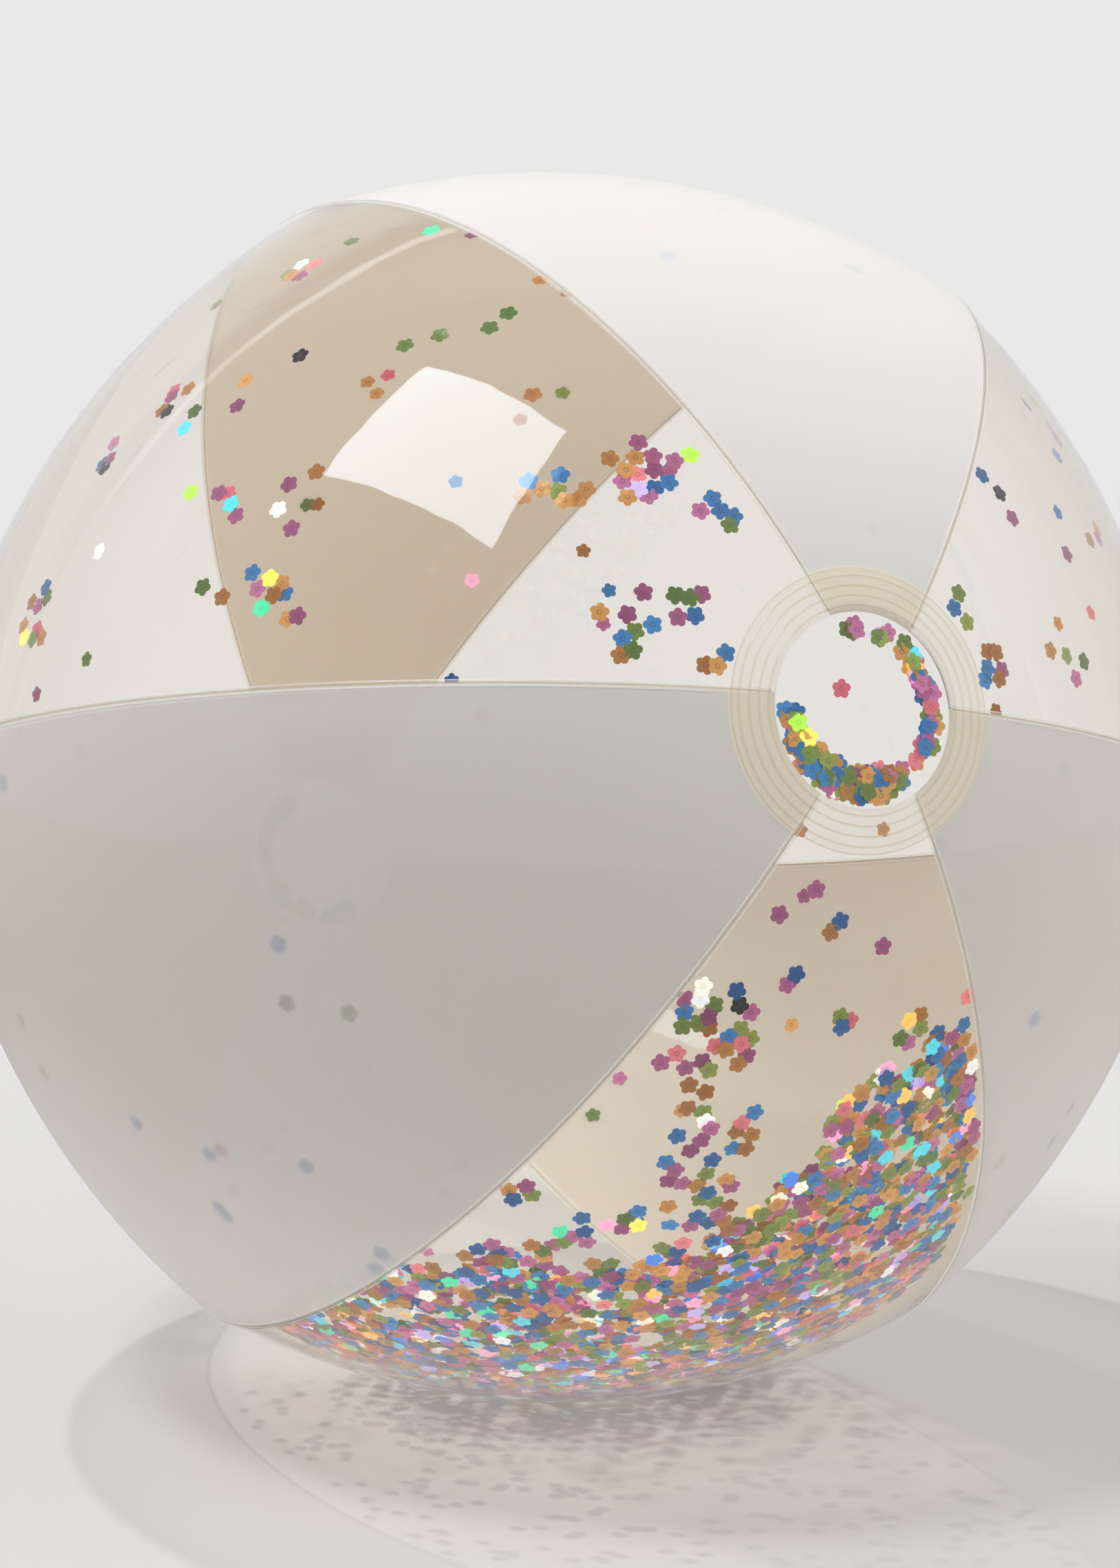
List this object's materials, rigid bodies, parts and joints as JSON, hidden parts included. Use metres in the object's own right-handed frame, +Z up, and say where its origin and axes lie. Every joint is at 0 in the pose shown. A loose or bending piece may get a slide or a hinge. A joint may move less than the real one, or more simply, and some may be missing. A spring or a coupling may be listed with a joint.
{
  "type": "inflatable beach ball",
  "caption": "Inflated beach ball of alternating milky and clear film gores, round discs over both poles, a push-in valve with a plug, and loose flower confetti inside.",
  "frame": {"origin": "centre of the ball", "axes": "+Z up, standing on the flat patch that its weight presses into the lowest gore; the front pole faces -Y, tipped up 16 degrees; +X to the right seen from the front pole's side"},
  "size_m": [0.3464, 0.3506, 0.3409],
  "materials": {
    "milky_film": "satin",
    "clear_film": "gloss",
    "disc_film": "gloss",
    "valve_vinyl": "satin",
    "flap_vinyl": "gloss",
    "foil_mixed": "gloss",
    "foil_mauve": "gloss",
    "foil_blue": "gloss",
    "foil_green": "gloss",
    "foil_ochre": "gloss",
    "foil_coral": "gloss",
    "foil_iridescent": "gloss"
  },
  "bodies": {
    "ball": {"gore_milky_top": "milky_film", "gore_milky_left": "milky_film", "gore_milky_right": "milky_film", "gore_clear_left": "clear_film", "gore_clear_right": "clear_film", "gore_clear_bottom": "clear_film", "pole_disc_front": "disc_film", "pole_disc_rear": "disc_film", "valve_base": "valve_vinyl", "confetti_mauve": "foil_mauve", "confetti_blue": "foil_blue", "confetti_green": "foil_green", "confetti_ochre": "foil_ochre", "confetti_coral": "foil_coral", "confetti_iridescent": "foil_iridescent"},
    "valve_stem": {"valve_stem": "valve_vinyl", "valve_strap": "valve_vinyl"},
    "valve_plug": {"valve_plug": "valve_vinyl"},
    "valve_flap": {"valve_flap": "flap_vinyl"},
    "confetti_heap": {"confetti_heap": "foil_mixed"}
  },
  "joints": [
    {"name": "valve_stem_slide", "type": "slide", "parent": "ball", "child": "valve_stem", "axis": [-0.6199, 0.6531, -0.4348], "range_m": [0, 0.0128], "stiffness_N_per_m": 60},
    {"name": "plug_pull", "type": "slide", "parent": "valve_stem", "child": "valve_plug", "axis": [-0.6199, 0.6531, -0.4348], "range_m": [0, 0.012], "stiffness_N_per_m": 60},
    {"name": "flap_hinge", "type": "hinge", "parent": "valve_stem", "child": "valve_flap", "pos_m": [-0.08711, 0.10713, -0.0655], "axis": [-0.3584, 0.2573, 0.8974], "range_deg": [0, 50]},
    {"name": "confetti_roll", "type": "hinge", "parent": "ball", "child": "confetti_heap", "pos_m": [0, 0, 0], "axis": [0, -0.9613, 0.2756], "continuous": true}
  ]
}
